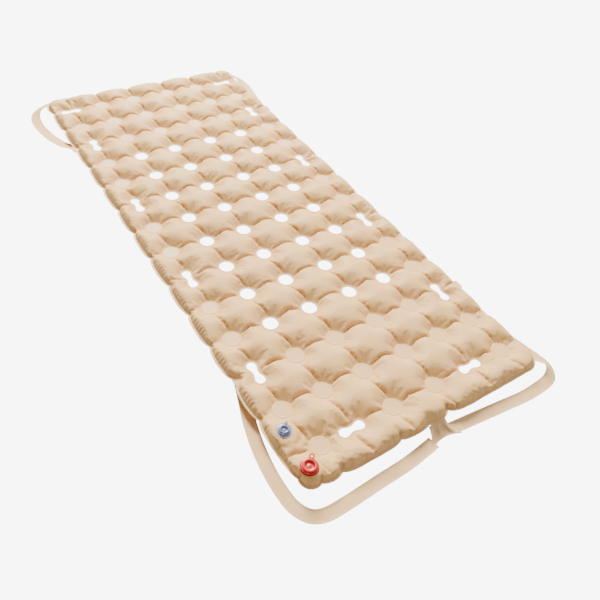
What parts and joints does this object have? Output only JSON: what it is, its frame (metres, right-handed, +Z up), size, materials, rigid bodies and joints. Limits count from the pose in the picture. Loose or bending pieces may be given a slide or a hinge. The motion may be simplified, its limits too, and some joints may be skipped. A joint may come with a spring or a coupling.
{
  "type": "pressure relief mattress",
  "caption": "Inflatable pressure relief overlay: welded sheets form rows of air cells round vent holes and strap slots, with corner straps, a clear inflation valve and a red deflation valve.",
  "frame": {"origin": "middle of the weld grid, on the face that rests on the bed", "axes": "+Z up, +Y towards the head, +X towards the patient's left as they lie on their back"},
  "size_m": [0.968, 2.134, 0.0623],
  "materials": {
    "sheet": "satin",
    "weld": "satin",
    "strap": "satin",
    "clear_valve": "gloss",
    "red_valve": "gloss"
  },
  "bodies": {
    "mattress": {"top_sheet": "sheet", "valve_panel": "sheet", "bottom_sheet": "sheet", "perimeter_seam": "weld", "plain_welds": "weld", "vent_welds": "weld", "slot_welds": "weld", "side_strap_tabs": "strap", "foot_strap_tab": "strap", "head_strap_tabs": "strap", "inflation_valve_flange": "clear_valve", "inflation_valve_body": "clear_valve", "inflation_plug_tether": "clear_valve", "deflation_valve_flange": "red_valve", "deflation_valve_body": "red_valve", "deflation_plug_tether": "red_valve"},
    "foot_strap_left": {"foot_strap_left": "strap"},
    "foot_strap_right": {"foot_strap_right": "strap"},
    "head_strap_left": {"head_strap_left": "strap"},
    "head_strap_right": {"head_strap_right": "strap"},
    "check_flap": {"inflation_check_flap": "clear_valve"},
    "inflation_plug": {"inflation_plug": "clear_valve"},
    "inflation_tab": {"inflation_plug_tab": "clear_valve"},
    "deflation_plug": {"deflation_plug": "red_valve"},
    "pull_ring": {"deflation_pull_ring": "red_valve"}
  },
  "joints": [
    {"name": "foot_strap_left_lift", "type": "hinge", "parent": "mattress", "child": "foot_strap_left", "pos_m": [-0.465, -0.652, 0.02515], "axis": [-0.7326, 0.6794, 0.0419], "range_deg": [0, 60]},
    {"name": "foot_strap_right_lift", "type": "hinge", "parent": "mattress", "child": "foot_strap_right", "pos_m": [0.465, -0.652, 0.02515], "axis": [-0.7326, -0.6794, -0.0419], "range_deg": [0, 60]},
    {"name": "head_strap_left_lift", "type": "hinge", "parent": "mattress", "child": "head_strap_left", "pos_m": [-0.465, 0.652, 0.02515], "axis": [0.2095, 0.976, -0.0601], "range_deg": [0, 45]},
    {"name": "head_strap_right_lift", "type": "hinge", "parent": "mattress", "child": "head_strap_right", "pos_m": [0.465, 0.652, 0.02515], "axis": [0.2095, -0.976, 0.0601], "range_deg": [0, 45]},
    {"name": "check_flap_open", "type": "hinge", "parent": "mattress", "child": "check_flap", "pos_m": [-0.392, -0.8295, 0.0397], "axis": [1, 0, 0], "range_deg": [0, 32], "stiffness_Nm_per_rad": 0.0002, "springref_deg": -20.05},
    {"name": "inflation_plug_pull", "type": "slide", "parent": "mattress", "child": "inflation_plug", "axis": [0, 0, 1], "range_m": [0, 0.014], "deforming": ["inflation_plug_tether"]},
    {"name": "deflation_plug_pull", "type": "slide", "parent": "mattress", "child": "deflation_plug", "axis": [0, 0, 1], "range_m": [0, 0.018], "deforming": ["deflation_plug_tether"]},
    {"name": "inflation_tab_lift", "type": "hinge", "parent": "inflation_plug", "child": "inflation_tab", "pos_m": [-0.3826, -0.83059, 0.0591], "axis": [0.7071, -0.7071, 0], "range_deg": [0, 80]},
    {"name": "pull_ring_lift", "type": "hinge", "parent": "deflation_plug", "child": "pull_ring", "pos_m": [-0.37835, -0.94385, 0.0608], "axis": [0.7071, -0.7071, 0], "range_deg": [0, 90]}
  ]
}
